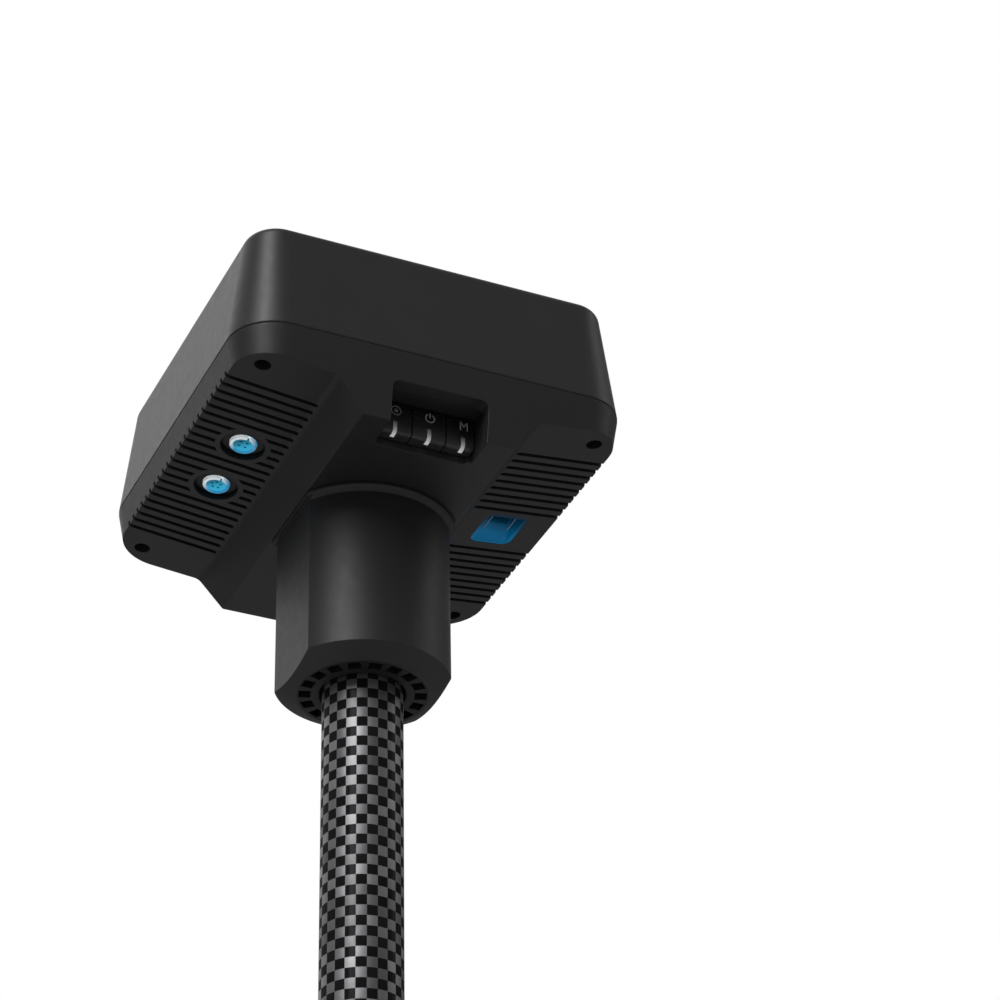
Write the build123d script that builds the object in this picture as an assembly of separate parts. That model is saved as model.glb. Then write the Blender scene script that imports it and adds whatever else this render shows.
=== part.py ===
from build123d import *
import os
from math import atan, cos, degrees, radians, sin, sqrt

# A satellite survey receiver on a two-section carbon pole, with a sliding bracket for a field controller.
# Units are millimetres. The origin is the pole's steel point, +Z runs up the pole, the keys face -Y and the
# bracket reaches out along +X.

# --- Pole: driving dimensions ---
TUBE_R = 15.0
TUBE_WALL = 1.6
BORE_R = TUBE_R - TUBE_WALL
UPPER_TUBE_R = 14.8         # the upper tube is slightly slimmer, so pole clamps seat on the lower one only
TUBE_END_R = 14.6           # the lower tube is turned down where the socket is bonded on
UPPER_BORE_R = UPPER_TUBE_R - TUBE_WALL
RUN_GAP = 0.05              # radial clearance of a running fit
POINT_TOP = 18.8            # top of the hardened point
HOLDER_TOP = 33.5           # top of the cone that carries the point
POINT_R = 7.8
POINT_NOSE_R = 3.0
POINT_SHANK_R = 5.0
HOLDER_PLUG = 30.0          # length of the holder bonded inside the tube
JOINT_Z = 1252.0            # where the two tubes meet, end to end
SPIGOT_DOWN = 56.0
SPIGOT_UP = 45.0
SPIGOT_WALL = 3.0

# --- Coupling between the two sections ---
CONE_BOTTOM = 1239.0
CONE_RISE = 9.0
TUBE_SHOULDER = CONE_BOTTOM - 0.5
CONE_LOW_R = 16.4
CONE_HIGH_R = 19.0
FINGER_TOP = 1272.0
FINGER_R = 17.6
FINGER_COUNT = 6
FINGER_SLOT = 1.6
COLLAR_BOTTOM = 1252.7
COLLAR_TOP = 1279.2
COLLAR_R = 23.7
COLLAR_RIDGES = 20
COLLAR_GROOVE_R = 1.7

# --- Receiver head, measured from the outer edge of its underside ---
PAD_Z = 1784.8              # height of the underside's outer edge above the point
SPLIT_Z = 11.4              # joint line between cover and base
SPLIT_HALF = 76.3
SPLIT_CORNER_R = 18.0
TOP_Z = 59.2
TOP_HALF = 70.6
TOP_EDGE_R = 4.0
PAD_HALF = 74.3
PAD_SLOPE = 0.11            # the underside pads drop towards the middle
PAD_INNER_X = 39.0
BRIDGE_HALF = 29.5
BRIDGE_Z = -16.45
WALL = 2.5
FLOOR_Z = 3.0
COVER_DRAFT = degrees(atan((SPLIT_HALF - TOP_HALF) / (TOP_Z - SPLIT_Z)))
BASE_DRAFT = degrees(atan((SPLIT_HALF - PAD_HALF) / SPLIT_Z))

# --- Cooling grooves on the underside ---
GROOVE_COUNT = 23
GROOVE_PITCH = 4.8
GROOVE_WIDTH = 2.0
GROOVE_DEPTH = 1.6
GROOVE_MIDDLE_Y = 0.2
PLAIN_GROOVES = 5           # places left plain on the right pad, round the card port

# --- Casing screws ---
SCREW_AT = 65.0
SCREW_RECESS_R = 3.0
SCREW_HEAD_R = 2.75
SCREW_R = 1.5
SCREW_HEAD_H = 2.4
SCREW_SEAT_Z = 6.0

# --- Neck and pole socket ---
NECK_R = 32.4
NECK_FLAT_X = 27.75
NECK_END_Z = -86.84
NECK_CONE_Z = -82.7
NECK_END_R = 24.6
FLANGE_R = 34.7
FLANGE_H = 2.0
SOCKET_OUT_R = 23.9
SOCKET_BORE_R = 15.5
POCKET_COUNT = 18
POCKET_IN_R = 18.8
POCKET_OUT_R = 23.2
POCKET_HALF = 2.4
POCKET_DEPTH = 12.0
TUBE_TOP_Z = -44.8
PLUG_FLANGE_H = 4.0
STUD_R = 7.9                # 5/8 inch survey thread, drawn as a plain cylinder
STUD_LENGTH = 13.0
WASHER_H = 1.5

NECK_SCREW = 20.0
INSERT_R = 11.0
GASKET_H = 0.6

# --- Boards, battery and antenna inside the head ---
BOARD_Z = 13.4
BOARD_H = 1.6
BOARD_POST = 50.0
GROUND_Z = 42.0
CELL_R = 10.5
CELL_PITCH = 26.0
CELL_Z = 29.5

# --- Keys ---
WINDOW_HALF = 18.75
WINDOW_TOP = -0.2
WINDOW_BACK = -55.5
KEY_PITCH = 13.3
KEY_SHIFT = 0.7             # the row of keys sits a little right of the middle
KEY_GAP = 0.45
KEY_FRONT = -61.0
KEY_BACK = -54.0
KEY_BOTTOM = -13.2
KEY_TOP = -0.6
KEY_EDGE_R = 1.8
KEY_STEM_INSET = 0.94
KEY_STEM_Z = -6.5
KEY_NAMES = ["record", "power", "mode"]
PIPE_WIDTH = 1.5
PIPE_TOP = -8.7
PIPE_BACK = -57.6
PIPE_PROUD = 0.15

# --- Data sockets and card port ---
DATA_X = -54.2
DATA_YS = [-15.9, 12.7]
DATA_RECESS_R = 8.3
DATA_RECESS_DEPTH = 2.5
DATA_SHELL_R = 5.0
DATA_INSERT_R = 3.7
DATA_INSERT_DEPTH = 0.7
DATA_PINS = [4, 5]
DATA_NUT_R = 7.6
DATA_PIN_R = 0.55
DATA_PIN_CIRCLE = 1.7
ISLAND_R = 10.4
CARD_X = 55.4
CARD_Y = -0.8
CARD_WIDTH = 17.0
CARD_LENGTH = 20.5
CARD_DEPTH = 6.0
CARD_CORNER_R = 3.5
CARD_SLOT_HALF = 4.6

# --- Bracket sleeve on the upper tube ---
BUSH_R = 17.5
BUSH_TOP = 1462.7
SLEEVE_BOTTOM = 1298.4
SLEEVE_TOP = 1430.5
SLEEVE_R = 22.7
SLEEVE_LIP_H = 3.0
SLEEVE_LIP_R = 18.9
RAIL_BOTTOM = 1294.5
RAIL_TOP = 1427.0
RAIL_BACK_X = 21.6
RAIL_FRONT_X = 31.1
RAIL_HALF = 8.5
SLOT_HALF = 2.8
SLOT_WIDE_HALF = 5.4
SLOT_FLOOR_X = 24.6
SLOT_LIP_X = 28.4

# --- Ball joint and arm ---
ARM_Z = 1388.5
BALL_X = 44.0
BALL_R = 8.5
BALL_NECK_R = 3.2
BALL_HOUSING_R = 12.3
BALL_PIN_R = 2.0            # the ball's cross pin, which lets the arm tilt but not fall sideways
BALL_MOUTH_ANGLE = 54.0     # half angle of the housing's mouth, seen from the ball's centre
ARM_END_X = 86.6
ARM_HALF_Z = 8.8
ARM_HALF_Y = 7.0
LEVER_PIN_X = 79.5
LEVER_PIN_Z = ARM_Z + 12.4

# --- Controller cradle ---
CRADLE_LEFT = 87.0
CRADLE_RIGHT = 142.5
CRADLE_BOTTOM = 1359.0
CRADLE_TOP = 1438.0
CRADLE_BACK_Y = 8.0
CRADLE_PLATE_Y = -7.0       # front of the back plate, where the controller's back lies
CRADLE_FRONT_Y = -33.0
JAW_LOW_TOP = 1378.0
JAW_HIGH_BOTTOM = 1419.0
JAW_LIP = 3.0
JAW_PAD = 1.5
ROD_R = 2.5
ROD_HEAD_R = 4.3
ROD_BORE_R = 4.7
ROD_OFFSET = 17.0
JAW_TRAVEL = 30.0
SHOULDER_Z = 1413.0


def save(name, shape):
    """Write one node; pieces given as a list become one group of separate solids."""
    solids = shape if isinstance(shape, list) else [shape]
    parts = [solid for piece in solids for solid in piece.solids()]
    export_step(parts[0] if len(parts) == 1 else Compound(children=parts), f"parts/{name}.step")


def save_head(name, shape):
    """Write a node of the receiver, which is modelled from its underside's outer edge."""
    pieces = shape if isinstance(shape, list) else [shape]
    save(name, [Pos(0, 0, PAD_Z) * piece for piece in pieces])


def rod(radius, low, high):
    """A plain round bar on the Z axis."""
    return Pos(0, 0, low) * Cylinder(radius, high - low, align=(Align.CENTER, Align.CENTER, Align.MIN))


def ring(outer, inner, low, high):
    return rod(outer, low, high) - rod(inner, low, high)


def turned(*points):
    """A turned piece: its outline of (radius, height) points spun about the Z axis."""
    outline = make_face(Plane.XZ * Polyline(*points, close=True))
    return revolve(outline, Axis.Z)


def block(x0, x1, y0, y1, z0, z1):
    size = (x1 - x0, y1 - y0, z1 - z0)
    return Pos((x0 + x1) / 2, (y0 + y1) / 2, (z0 + z1) / 2) * Box(*size)


def cone_up(low_radius, high_radius, low, height):
    """A cone on the Z axis that starts at the height low."""
    return Pos(0, 0, low + height / 2) * Cone(low_radius, high_radius, height)


def along_x(shape):
    """Turn a piece made on the Z axis so that its axis runs along +X."""
    return Rot(0, 90, 0) * shape


def screw(radius, head_radius, head_height, length):
    """A socket screw standing on its head: head below z = 0, shank above."""
    head = rod(head_radius, -head_height, 0)
    socket = extrude(Plane.XY.offset(-head_height) * RegularPolygon(head_radius * 0.5, 6), head_height * 0.6)
    return head - socket + rod(radius, 0, length)


def corners(half_x, half_y):
    return [(x, y) for x in (-half_x, half_x) for y in (-half_y, half_y)]


# --- Pole ---

def pole_point():
    cone = turned(
        (0, 0), (POINT_NOSE_R * 0.5, 0.35), (POINT_NOSE_R, 2.2), (POINT_R, POINT_TOP), (0, POINT_TOP)
    )
    return cone + rod(POINT_SHANK_R, POINT_TOP, POINT_TOP + 22)


def point_holder():
    body = turned(
        (0, POINT_TOP), (POINT_R, POINT_TOP), (TUBE_R, HOLDER_TOP), (BORE_R, HOLDER_TOP),
        (BORE_R, HOLDER_TOP + HOLDER_PLUG), (0, HOLDER_TOP + HOLDER_PLUG)
    )
    return body - rod(POINT_SHANK_R, POINT_TOP, POINT_TOP + 24)


def lower_socket():
    body = turned(
        (TUBE_END_R, CONE_BOTTOM), (CONE_LOW_R, CONE_BOTTOM), (CONE_HIGH_R, CONE_BOTTOM + CONE_RISE),
        (CONE_HIGH_R, JOINT_Z), (FINGER_R, JOINT_Z), (FINGER_R, FINGER_TOP - 1), (FINGER_R - 1, FINGER_TOP),
        (TUBE_R + RUN_GAP, FINGER_TOP), (TUBE_R + RUN_GAP, JOINT_Z), (TUBE_END_R, JOINT_Z)
    )
    slot = block(TUBE_R - 2, FINGER_R + 2, -FINGER_SLOT / 2, FINGER_SLOT / 2, JOINT_Z + 4, FINGER_TOP + 1)
    for i in range(FINGER_COUNT):
        body -= Rot(0, 0, i * 360 / FINGER_COUNT) * slot
    return body


def lower_tube():
    return ring(TUBE_R, BORE_R, HOLDER_TOP, TUBE_SHOULDER) + ring(TUBE_END_R, BORE_R, TUBE_SHOULDER, JOINT_Z)


def lock_collar():
    body = turned(
        (FINGER_R + 0.3, COLLAR_BOTTOM), (COLLAR_R - 1, COLLAR_BOTTOM), (COLLAR_R, COLLAR_BOTTOM + 1),
        (COLLAR_R, COLLAR_TOP - 3), (COLLAR_R - 2, COLLAR_TOP), (TUBE_R + 0.4, COLLAR_TOP),
        (TUBE_R + 0.4, FINGER_TOP + 0.6), (FINGER_R + 0.3, FINGER_TOP + 0.6)
    )
    groove = Pos(COLLAR_R + 0.5, 0, 0) * rod(COLLAR_GROOVE_R, COLLAR_BOTTOM - 1, COLLAR_TOP + 1)
    for i in range(COLLAR_RIDGES):
        body -= Rot(0, 0, i * 360 / COLLAR_RIDGES) * groove
    return body


def upper_spigot():
    low = JOINT_Z - SPIGOT_DOWN
    return turned(
        (BORE_R - SPIGOT_WALL, low), (BORE_R - 1, low), (BORE_R - RUN_GAP, low + 2),
        (BORE_R - RUN_GAP, JOINT_Z), (UPPER_BORE_R, JOINT_Z), (UPPER_BORE_R, JOINT_Z + SPIGOT_UP),
        (BORE_R - SPIGOT_WALL, JOINT_Z + SPIGOT_UP)
    )


def pole_top_plug():
    flange_top = TUBE_TOP_Z + PLUG_FLANGE_H
    return turned(
        (0, TUBE_TOP_Z - 30), (UPPER_BORE_R, TUBE_TOP_Z - 30), (UPPER_BORE_R, TUBE_TOP_Z),
        (UPPER_TUBE_R, TUBE_TOP_Z), (UPPER_TUBE_R, flange_top), (STUD_R, flange_top),
        (STUD_R, flange_top + STUD_LENGTH - 1), (STUD_R - 1, flange_top + STUD_LENGTH),
        (0, flange_top + STUD_LENGTH)
    )


def make_pole():
    save("pole_point", pole_point())
    save("point_holder", point_holder())
    save("lower_tube", lower_tube())
    save("lower_socket", lower_socket())
    save("lock_collar", lock_collar())
    save("upper_spigot", upper_spigot())
    save("upper_tube", ring(UPPER_TUBE_R, UPPER_BORE_R, JOINT_Z, PAD_Z + TUBE_TOP_Z))
    save_head("pole_top_plug", pole_top_plug())


# --- Receiver casing ---

def drafted_square(half, corner_r, z, height, draft):
    """A rounded square prism whose sides lean inwards by the draft angle, away from height z."""
    return extrude(Plane.XY.offset(z) * RectangleRounded(2 * half, 2 * half, corner_r), height, taper=draft)


def pad_plane(side):
    """The underside pad on the left (-1) or right (+1): local x is +X, local z points into the casing."""
    rise = side * PAD_SLOPE
    return Plane(origin=(side * PAD_HALF, 0, 0), x_dir=(1, 0, rise), z_dir=(-rise, 0, 1))


def pad_x(x):
    """Distance along a pad's slope from its outer edge to the height over x."""
    return (x - PAD_HALF if x > 0 else x + PAD_HALF) * sqrt(1 + PAD_SLOPE ** 2)


def pad_z(x):
    return -PAD_SLOPE * (PAD_HALF - abs(x))


def groove_places():
    first = GROOVE_MIDDLE_Y - GROOVE_PITCH * (GROOVE_COUNT - 1) / 2
    return [first + i * GROOVE_PITCH for i in range(GROOVE_COUNT)]


def groove_cut(side):
    """The grooves of one pad; they run out through the outer edge and stop short of sockets and port."""
    length = PAD_HALF - PAD_INNER_X + 6
    middle = side * (6 - length / 2)
    middle_gap = (GROOVE_COUNT - PLAIN_GROOVES) // 2
    slots = []
    for i, y in enumerate(groove_places()):
        plain = side > 0 and middle_gap <= i < middle_gap + PLAIN_GROOVES
        if not plain:
            slots.append(Pos(middle, y) * SlotOverall(length, GROOVE_WIDTH))
    sketch = Sketch() + slots
    if side < 0:
        for y in DATA_YS:
            sketch -= Pos(pad_x(DATA_X), y) * Circle(ISLAND_R)
    return extrude(pad_plane(side) * Pos(0, 0, -1) * sketch, GROOVE_DEPTH + 1)


def underside_limit():
    """Everything above the stepped underside: two sloping pads and the deeper bridge between them."""
    far = SPLIT_HALF + 10
    outline = make_face(Plane.XZ * Polyline(
        (-far, pad_z(far)), (-PAD_INNER_X, pad_z(PAD_INNER_X)), (-BRIDGE_HALF, BRIDGE_Z),
        (BRIDGE_HALF, BRIDGE_Z), (PAD_INNER_X, pad_z(PAD_INNER_X)), (far, pad_z(far)), (far, SPLIT_Z + 5),
        (-far, SPLIT_Z + 5), close=True
    ))
    prism = extrude(outline, far, both=True)
    edges = prism.edges().filter_by(Axis.Y)
    concave = [e for e in edges if abs(abs(e.center().X) - PAD_INNER_X) < 0.1]
    prism = fillet(concave, 4)
    low_edges = [e for e in prism.edges().filter_by(Axis.Y) if abs(e.center().Z - BRIDGE_Z) < 0.1]
    convex = [e for e in low_edges if abs(abs(e.center().X) - BRIDGE_HALF) < 0.1]
    return fillet(convex, 1)


def window_cut():
    """The key window: open through the bridge's front and underside."""
    cut = block(-WINDOW_HALF, WINDOW_HALF, -90, WINDOW_BACK, -30, WINDOW_TOP)
    back = [e for e in cut.edges().filter_by(Axis.Z) if e.center().Y > WINDOW_BACK - 1]
    cut = fillet(back, 2.5)
    upper = [e for e in cut.edges().filter_by(Axis.Y) if e.center().Z > WINDOW_TOP - 1]
    return fillet(upper, 3)


def screw_posts(radius, low, high):
    return [Pos(x, y, 0) * rod(radius, low, high) for x, y in corners(SCREW_AT, SCREW_AT)]


def base_casing():
    outer = drafted_square(SPLIT_HALF, SPLIT_CORNER_R, SPLIT_Z, BRIDGE_Z - SPLIT_Z, BASE_DRAFT)
    top_edge = outer.edges().group_by(Axis.Z)[-1]
    outer = chamfer(top_edge, 0.5)
    outer &= underside_limit()
    inner = drafted_square(SPLIT_HALF - WALL, SPLIT_CORNER_R - WALL, SPLIT_Z, FLOOR_Z - SPLIT_Z, BASE_DRAFT)
    half = BRIDGE_HALF - WALL - 1
    depth = PAD_HALF - 6
    body = outer - inner - block(-half, half, -depth, depth, BRIDGE_Z + 3, FLOOR_Z + 1)
    posts = screw_posts(5.5, SCREW_SEAT_Z - 3, SPLIT_Z - 0.6)
    body += [post & outer for post in posts]
    body -= screw_posts(SCREW_RECESS_R, -10, SCREW_SEAT_Z)
    body -= screw_posts(SCREW_R + 0.2, -10, SPLIT_Z + 1)
    board_posts = corners(BOARD_POST, BOARD_POST)
    body += [Pos(x, y, 0) * rod(3.5, FLOOR_Z - 1, BOARD_Z) for x, y in board_posts]
    body -= [Pos(x, y, 0) * rod(SCREW_R, FLOOR_Z + 2, BOARD_Z + 1) for x, y in board_posts]
    body -= cover_gasket()
    body -= groove_cut(-1)
    body -= groove_cut(1)
    body -= window_cut()
    for y in DATA_YS:
        body -= pad_plane(-1) * Pos(pad_x(DATA_X), y, -2) * rod(DATA_RECESS_R, 0, 2 + DATA_RECESS_DEPTH)
        body -= pad_plane(-1) * Pos(pad_x(DATA_X), y, 0) * rod(DATA_SHELL_R, 0, 20)
    body -= card_pocket(CARD_WIDTH, CARD_LENGTH, CARD_CORNER_R, -3, CARD_DEPTH)
    body -= card_pocket(CARD_WIDTH - 4, CARD_LENGTH - 6, 1, 0, 20)
    body -= rod(12, BRIDGE_Z - 1, BRIDGE_Z + 5)
    neck_posts = corners(NECK_SCREW, NECK_SCREW)
    body -= [Pos(x, y, 0) * rod(SCREW_R + 0.2, BRIDGE_Z - 1, BRIDGE_Z + 5) for x, y in neck_posts]
    return body


def card_pocket(width, length, corner_r, low, high):
    """A rounded rectangular prism standing on the right pad, from low to high above its surface."""
    outline = Pos(pad_x(CARD_X), CARD_Y) * RectangleRounded(width, length, corner_r)
    return extrude(pad_plane(1) * Pos(0, 0, low) * outline, high - low)


def top_cover():
    outer = drafted_square(SPLIT_HALF, SPLIT_CORNER_R, SPLIT_Z, TOP_Z - SPLIT_Z, COVER_DRAFT)
    outer = fillet(outer.edges().group_by(Axis.Z)[-1], TOP_EDGE_R)
    outer = chamfer(outer.edges().group_by(Axis.Z)[0], 0.5)
    inner = drafted_square(
        SPLIT_HALF - WALL, SPLIT_CORNER_R - WALL, SPLIT_Z, TOP_Z - WALL - SPLIT_Z, COVER_DRAFT
    )
    inner = fillet(inner.edges().group_by(Axis.Z)[-1], TOP_EDGE_R - WALL / 2)
    posts = [post & outer for post in screw_posts(4.5, SPLIT_Z, 30)]
    return outer - inner + posts - screw_posts(SCREW_R, SPLIT_Z - 1, 27)


def cover_gasket():
    outline = RectangleRounded(2 * SPLIT_HALF - 1.8, 2 * SPLIT_HALF - 1.8, SPLIT_CORNER_R - 0.9)
    hollow = RectangleRounded(2 * SPLIT_HALF - 4.2, 2 * SPLIT_HALF - 4.2, SPLIT_CORNER_R - 2.1)
    return extrude(Plane.XY.offset(SPLIT_Z - GASKET_H) * (outline - hollow), GASKET_H)


# --- Neck ---

def neck_housing():
    body = turned(
        (SOCKET_OUT_R, NECK_END_Z), (NECK_END_R, NECK_END_Z), (NECK_R, NECK_CONE_Z),
        (NECK_R, BRIDGE_Z - FLANGE_H - 1), (FLANGE_R - 0.6, BRIDGE_Z - FLANGE_H),
        (FLANGE_R, BRIDGE_Z - FLANGE_H + 0.6), (FLANGE_R, BRIDGE_Z), (11, BRIDGE_Z), (11, BRIDGE_Z - 5),
        (SOCKET_OUT_R, BRIDGE_Z - 5)
    )
    for side in (-1, 1):
        low_side = sorted((side * NECK_FLAT_X, side * 60))
        body -= block(*low_side, -60, 60, NECK_END_Z - 1, BRIDGE_Z - FLANGE_H)
        flange_side = sorted((side * BRIDGE_HALF, side * 60))
        body -= block(*flange_side, -60, 60, BRIDGE_Z - FLANGE_H - 1, BRIDGE_Z + 1)
    neck_posts = corners(NECK_SCREW, NECK_SCREW)
    return body - [Pos(x, y, 0) * rod(SCREW_R, BRIDGE_Z - 12, BRIDGE_Z + 1) for x, y in neck_posts]


def pole_socket():
    """The moulded sleeve that takes the pole, cored out at its open end by a ring of ribbed pockets."""
    ceiling = TUBE_TOP_Z + PLUG_FLANGE_H + WASHER_H
    body = turned(
        (SOCKET_BORE_R + 0.5, NECK_END_Z), (SOCKET_OUT_R, NECK_END_Z), (SOCKET_OUT_R, BRIDGE_Z - 6),
        (INSERT_R, BRIDGE_Z - 6), (INSERT_R, ceiling), (SOCKET_BORE_R, ceiling),
        (SOCKET_BORE_R, NECK_END_Z + 0.5)
    )
    top = NECK_END_Z + POCKET_DEPTH
    pocket = block(POCKET_IN_R, POCKET_OUT_R, -POCKET_HALF, POCKET_HALF, NECK_END_Z - 1, top)
    for i in range(POCKET_COUNT):
        body -= Rot(0, 0, i * 360 / POCKET_COUNT) * pocket
    return body


def make_casing():
    save_head("top_cover", top_cover())
    save_head("cover_gasket", cover_gasket())
    save_head("base_casing", base_casing())
    casing_screw = screw(SCREW_R, SCREW_HEAD_R, SCREW_HEAD_H, 20)
    places = corners(SCREW_AT, SCREW_AT)
    save_head("casing_screws", [Pos(x, y, SCREW_SEAT_Z) * casing_screw for x, y in places])
    save_head("neck_housing", neck_housing())
    neck_screw = Pos(0, 0, BRIDGE_Z + 3) * Rot(180, 0, 0) * screw(SCREW_R, SCREW_HEAD_R, SCREW_HEAD_H, 13)
    save_head("neck_screws", [Pos(x, y, 0) * neck_screw for x, y in corners(NECK_SCREW, NECK_SCREW)])
    save_head("pole_socket", pole_socket())
    ceiling = TUBE_TOP_Z + PLUG_FLANGE_H + WASHER_H
    save_head("thread_insert", ring(INSERT_R, STUD_R + RUN_GAP, ceiling, BRIDGE_Z - 9))
    save_head("seat_washer", ring(14.6, STUD_R + 0.4, ceiling - WASHER_H, ceiling))


# --- Inside the receiver ---

def board(half, cut, low, thickness):
    """A square circuit board with its corners cut off, clear of the screw posts."""
    outline = chamfer((Rectangle(2 * half, 2 * half)).vertices(), cut)
    return extrude(Plane.XY.offset(low) * outline, thickness)


def make_electronics():
    posts = corners(BOARD_POST, BOARD_POST)
    main = board(62, 12, BOARD_Z, BOARD_H)
    main -= [Pos(x, y, 0) * rod(SCREW_R + 0.2, BOARD_Z - 1, BOARD_Z + 3) for x, y in posts]
    save_head("receiver_board", main)
    top = BOARD_Z + BOARD_H
    save_head("shield_cans", [block(-42, -8, 26, 58, top, top + 3), block(8, 40, 30, 56, top, top + 3)])
    save_head("radio_module", block(-46, -14, -56, -30, top, top + 3.4))
    post = extrude(Plane.XY.offset(top) * RegularPolygon(3.2, 6), GROUND_Z - top)
    post -= rod(SCREW_R, GROUND_Z - 7, GROUND_Z)
    post += rod(SCREW_R, top - 5, top)
    save_head("antenna_posts", [Pos(x, y, 0) * post for x, y in posts])
    plane = board(60, 10, GROUND_Z, BOARD_H)
    plane -= [Pos(x, y, 0) * rod(SCREW_R + 0.2, GROUND_Z - 1, GROUND_Z + 3) for x, y in posts]
    save_head("antenna_ground_plane", plane - rod(1.6, GROUND_Z - 1, GROUND_Z + 3))
    plate = GROUND_Z + BOARD_H
    save_head("antenna_element", ring(42, 1.6, plate, plate + 5) + ring(30, 1.6, plate + 5, plate + 9))
    save_head("antenna_feed_pin", rod(1.5, top, plate + 9.4) + rod(3, plate + 9, plate + 9.6))
    small = Pos(0, 0, plate) * Rot(180, 0, 0) * screw(SCREW_R, SCREW_HEAD_R, 2, 6)
    save_head("antenna_screws", [Pos(x, y, 0) * small for x, y in posts])
    cells = [Pos(-36, y, CELL_Z) * along_x(rod(CELL_R, 0, 70)) for y in (-CELL_PITCH / 2, CELL_PITCH / 2)]
    save_head("battery_cells", cells)
    tray = block(-40, 38, -CELL_PITCH, CELL_PITCH, top + 1, CELL_Z)
    for y in (-CELL_PITCH / 2, CELL_PITCH / 2):
        tray -= Pos(-41, y, CELL_Z) * along_x(rod(CELL_R + 0.1, 0, 90))
    tray -= rod(2.6, top, CELL_Z + 1)
    tray += [Pos(x, 0, 0) * rod(4, top, top + 1) for x in (-30, 30)]
    save_head("battery_tray", tray)


# --- Sockets and port ---

def data_place(y):
    return pad_plane(-1) * Pos(pad_x(DATA_X), y, 0)


def pin_places(count):
    return [Rot(0, 0, 45 + i * 360 / count) * Pos(DATA_PIN_CIRCLE, 0, 0) for i in range(count)]


def make_data_sockets():
    floor = DATA_RECESS_DEPTH
    shells, inserts, pins, seals, nuts = [], [], [], [], []
    for y, count in zip(DATA_YS, DATA_PINS):
        shell = ring(DATA_SHELL_R, DATA_INSERT_R, 0.2, floor + 8)
        shell = chamfer(shell.edges().group_by(Axis.Z)[0], 0.4)
        shell += ring(DATA_NUT_R, DATA_INSERT_R, floor - 0.9, floor - 0.1)
        shell -= Rot(0, 0, -82) * block(DATA_INSERT_R - 0.1, DATA_SHELL_R + 1, -0.6, 0.6, 0, 1.6)
        insert = rod(DATA_INSERT_R - 0.02, DATA_INSERT_DEPTH, floor + 8)
        holes = [place * rod(DATA_PIN_R + 0.2, 0, 4) for place in pin_places(count)]
        shells.append(data_place(y) * shell)
        inserts.append(data_place(y) * (insert - holes))
        pins += [data_place(y) * place * rod(DATA_PIN_R, 1.6, 4) for place in pin_places(count)]
        seals.append(data_place(y) * ring(DATA_NUT_R - 0.4, DATA_SHELL_R, floor - 0.1, floor))
        nut = extrude(Plane.XY.offset(6.8) * RegularPolygon(8, 6), 2.5) - rod(DATA_SHELL_R, 6, 10)
        nuts.append(data_place(y) * nut)
    save_head("data_socket_shells", shells)
    save_head("data_socket_inserts", inserts)
    save_head("data_socket_contacts", pins)
    save_head("data_socket_seals", seals)
    save_head("data_socket_nuts", nuts)


def card_ramp():
    """The sloping finger ramp that leads down to the card slot."""
    half = CARD_WIDTH / 2 - 1.6
    near = CARD_LENGTH / 2 - 1.2
    side = Plane.YZ * Polyline(
        (near, -1), (near, 0.4), (-1.5, CARD_DEPTH - 1.6), (-near + 0.8, CARD_DEPTH - 1.6), (-near + 0.8, -1),
        close=True
    )
    return pad_plane(1) * Pos(pad_x(CARD_X), CARD_Y, 0) * extrude(make_face(side), half, both=True)


def make_card_port():
    place = pad_plane(1) * Pos(pad_x(CARD_X), CARD_Y, 0)
    slot = place * block(-CARD_SLOT_HALF, CARD_SLOT_HALF, -7.4, 1, 0, CARD_DEPTH + 1)
    liner = card_pocket(CARD_WIDTH - 0.04, CARD_LENGTH - 0.04, CARD_CORNER_R, 0.15, CARD_DEPTH)
    save_head("card_port_liner", liner - card_ramp() - slot)
    socket_body = block(-6.2, 6.2, -8.5, 5, CARD_DEPTH, CARD_DEPTH + 2.6)
    socket_body -= block(-CARD_SLOT_HALF, CARD_SLOT_HALF, -7.4, 4, CARD_DEPTH - 1, CARD_DEPTH + 1.8)
    save_head("card_socket", place * socket_body)


# --- Keys ---

def key_middle(index):
    return KEY_SHIFT + (index - 1) * KEY_PITCH


def key_stem(index, radius, low, high):
    """The round stem behind a key, drawn in towards the middle to clear the frame's side walls."""
    place = Pos(key_middle(index) * KEY_STEM_INSET, KEY_BACK, KEY_STEM_Z)
    return place * Rot(-90, 0, 0) * rod(radius, low, high)


def key_span(index):
    """Left and right ends of a key; the outer keys stop at the window's sides."""
    middle = key_middle(index)
    low = max(middle - KEY_PITCH / 2 + KEY_GAP / 2, -WINDOW_HALF + 0.4)
    high = min(middle + KEY_PITCH / 2 - KEY_GAP / 2, WINDOW_HALF - 0.4)
    return low, high


def lower_front_edge(shape):
    return shape.edges().filter_by(Axis.X).group_by(Axis.Z)[0].group_by(Axis.Y)[0]


def light_pipe(index):
    """The bright strip that wraps the key's lower front corner."""
    proud = PIPE_PROUD
    x0, x1 = key_middle(index) - PIPE_WIDTH / 2, key_middle(index) + PIPE_WIDTH / 2
    outer = block(x0, x1, KEY_FRONT - proud, PIPE_BACK, KEY_BOTTOM - proud, PIPE_TOP)
    outer = fillet(lower_front_edge(outer), KEY_EDGE_R + proud)
    return outer - block(x0 - 1, x1 + 1, KEY_FRONT + 1, PIPE_BACK + 1, KEY_BOTTOM + 1, PIPE_TOP + 1)


def key_cap(index):
    low, high = key_span(index)
    cap = block(low, high, KEY_FRONT, KEY_BACK, KEY_BOTTOM, KEY_TOP)
    cap = fillet(lower_front_edge(cap), KEY_EDGE_R)
    return cap + key_stem(index, 1.8, -0.5, 3.6) - light_pipe(index)


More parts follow.
